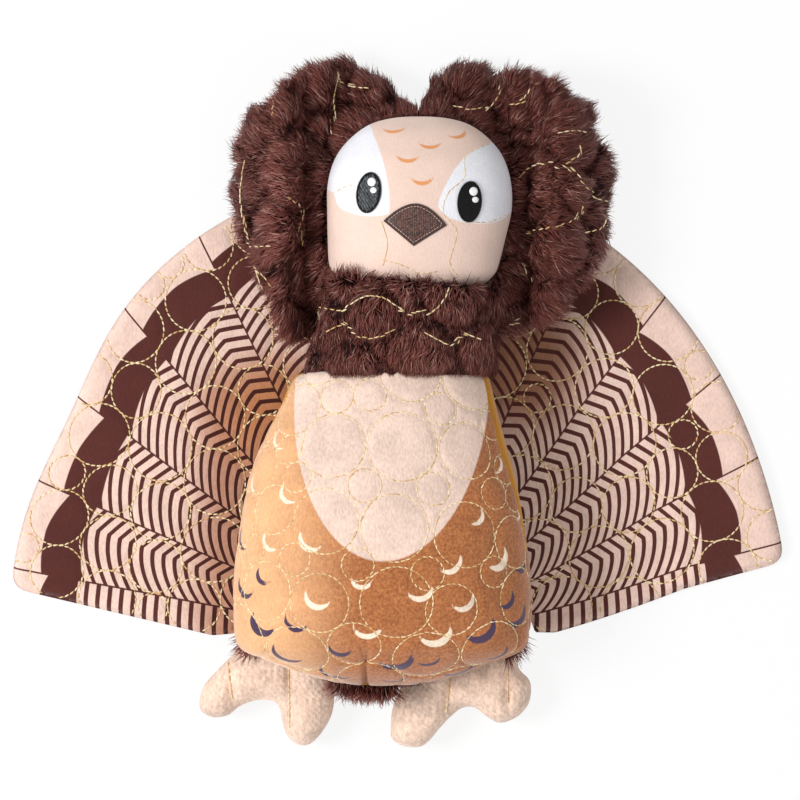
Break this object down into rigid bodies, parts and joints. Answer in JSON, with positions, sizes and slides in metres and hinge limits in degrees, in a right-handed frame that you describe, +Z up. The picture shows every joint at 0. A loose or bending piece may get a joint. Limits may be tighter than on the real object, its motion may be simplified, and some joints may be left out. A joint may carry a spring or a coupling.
{
  "type": "plush dog toy",
  "caption": "Stuffed bird toy for a dog, lying on its back: quilted fan tail, fur ruff, fur neck band, printed body with a bib, and fleece feet.",
  "frame": {"origin": "centre of the toy's outline on the surface that it lies on", "axes": "+X to the viewer's right across the tail, +Y from the feet towards the head, +Z up, out of the toy's front"},
  "size_m": [0.309, 0.2713, 0.074],
  "materials": {
    "printed_plush": "short printed plush, quilted",
    "mustard_plush": "short plush",
    "brown_fur": "long pile fur",
    "pale_plush": "short printed plush",
    "pale_fleece": "short curly fleece",
    "tail_printed_plush": "short printed plush, quilted",
    "tail_back_plush": "short brown plush",
    "polyester_filling": "loose polyester fibre",
    "crinkle_film": "thin crinkled film",
    "squeaker_vinyl": "soft moulded vinyl",
    "black_thread": "dense satin stitch",
    "white_thread": "dense satin stitch",
    "brown_thread": "dense fill stitch"
  },
  "bodies": {
    "root": {"body_front_panel": "printed_plush", "body_gusset_left": "mustard_plush", "body_gusset_right": "mustard_plush", "body_back_panel": "brown_fur", "squeaker_bulb": "squeaker_vinyl", "squeaker_reed": "squeaker_vinyl", "body_filling_front": "polyester_filling", "body_filling_back": "polyester_filling", "neck_band": "brown_fur", "tail_centre_front": "tail_printed_plush", "tail_centre_film": "crinkle_film", "tail_centre_back": "tail_back_plush"},
    "head": {"face_panel": "pale_plush", "head_back_panel": "brown_fur", "head_filling": "polyester_filling", "pupil_left": "black_thread", "glint_left_large": "white_thread", "glint_left_small": "white_thread", "pupil_right": "black_thread", "glint_right_large": "white_thread", "glint_right_small": "white_thread", "beak": "brown_thread", "ruff_crown_front": "brown_fur", "ruff_crown_batting": "polyester_filling", "ruff_crown_back": "brown_fur"},
    "tail_left": {"tail_left_front": "tail_printed_plush", "tail_left_film": "crinkle_film", "tail_left_back": "tail_back_plush"},
    "tail_right": {"tail_right_front": "tail_printed_plush", "tail_right_film": "crinkle_film", "tail_right_back": "tail_back_plush"},
    "foot_left": {"foot_left_cover": "pale_fleece", "foot_left_filling": "polyester_filling"},
    "foot_right": {"foot_right_cover": "pale_fleece", "foot_right_filling": "polyester_filling"},
    "ruff_left": {"ruff_left_front": "brown_fur", "ruff_left_batting": "polyester_filling", "ruff_left_back": "brown_fur"},
    "ruff_right": {"ruff_right_front": "brown_fur", "ruff_right_batting": "polyester_filling", "ruff_right_back": "brown_fur"}
  },
  "joints": [
    {"name": "head_nod", "type": "hinge", "parent": "root", "child": "head", "pos_m": [0.003, 0.03, 0.037], "axis": [1, 0, 0], "range_deg": [0, 30], "deforming": ["neck_band"]},
    {"name": "tail_left_fold", "type": "hinge", "parent": "root", "child": "tail_left", "pos_m": [-0.068, -0.0924, 0.0037], "axis": [-0.0125, 0.9999, 0], "range_deg": [0, 75]},
    {"name": "tail_right_fold", "type": "hinge", "parent": "root", "child": "tail_right", "pos_m": [0.059, -0.0924, 0.0037], "axis": [-0.1902, -0.9817, 0], "range_deg": [0, 75]},
    {"name": "foot_left_swing", "type": "hinge", "parent": "root", "child": "foot_left", "pos_m": [-0.046, -0.098, 0.0108], "axis": [-1, 0, 0], "range_deg": [-45, 20]},
    {"name": "foot_right_swing", "type": "hinge", "parent": "root", "child": "foot_right", "pos_m": [0.0255, -0.098, 0.0108], "axis": [-1, 0, 0], "range_deg": [-45, 20]},
    {"name": "ruff_left_flap", "type": "hinge", "parent": "head", "child": "ruff_left", "pos_m": [-0.03468, 0.08, 0.024], "axis": [0, 1, 0], "range_deg": [0, 40]},
    {"name": "ruff_right_flap", "type": "hinge", "parent": "head", "child": "ruff_right", "pos_m": [0.04988, 0.08, 0.024], "axis": [0, -1, 0], "range_deg": [0, 40]}
  ]
}
